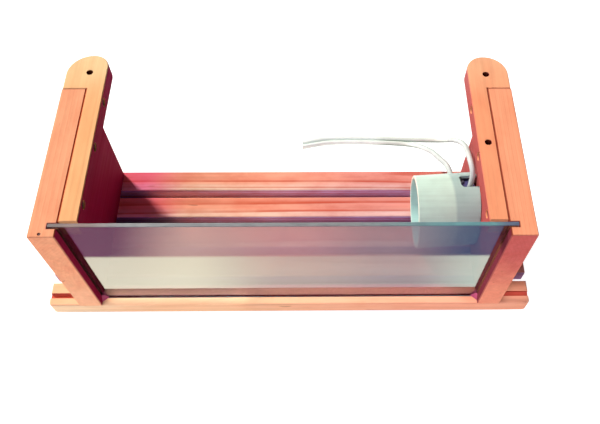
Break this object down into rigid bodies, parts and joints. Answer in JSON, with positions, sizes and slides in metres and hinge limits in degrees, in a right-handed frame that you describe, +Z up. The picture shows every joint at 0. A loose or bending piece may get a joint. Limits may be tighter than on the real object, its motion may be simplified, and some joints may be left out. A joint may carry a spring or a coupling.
{
  "type": "glass-fronted wooden trough",
  "caption": "Small open wooden trough with slatted floor, lift-out glass front, drilled bracket arms and a loose pipe holding a lamp holder on twin flex.",
  "frame": {"origin": "on the resting surface, on the underside of the middle slat, under the middle of the end cheeks", "axes": "+X to the right along the slats, +Y from the glass front to the open back, +Z up"},
  "size_m": [0.383, 0.1736, 0.127],
  "materials": {
    "cheek_wood": "planed softwood",
    "arm_wood": "planed softwood",
    "slat_wood": "planed softwood",
    "block_wood": "rough softwood",
    "screw_steel": "darkened",
    "pane_glass": "clear float glass",
    "pipe_plastic": "satin",
    "holder_plastic": "moulded",
    "contact_brass": "plain",
    "terminal_steel": "plated",
    "wire_plastic": "flexible PVC"
  },
  "bodies": {
    "box": {"left_cheek": "cheek_wood", "right_cheek": "cheek_wood", "left_arm": "arm_wood", "right_arm": "arm_wood", "slat_1": "slat_wood", "slat_2": "slat_wood", "slat_3": "slat_wood", "slat_4": "slat_wood", "front_slat": "slat_wood", "left_glue_block": "block_wood", "right_glue_block": "block_wood", "left_arm_screws": "screw_steel", "right_arm_screws": "screw_steel", "left_floor_screws": "screw_steel", "right_floor_screws": "screw_steel", "cheek_pin": "screw_steel"},
    "pane": {"glass_pane": "pane_glass"},
    "lamp_unit": {"pipe_sleeve": "pipe_plastic", "holder_body": "holder_plastic", "socket_shell": "contact_brass", "centre_contact": "contact_brass", "terminal_screws": "terminal_steel", "front_wire": "wire_plastic", "back_wire": "wire_plastic"}
  },
  "joints": [
    {"name": "glass_slide", "type": "slide", "parent": "box", "child": "pane", "axis": [0, 0, 1], "range_m": [0, 0.118]},
    {"name": "pipe_slide", "type": "slide", "parent": "box", "child": "lamp_unit", "axis": [-1, 0, 0], "range_m": [0, 0.15]}
  ]
}
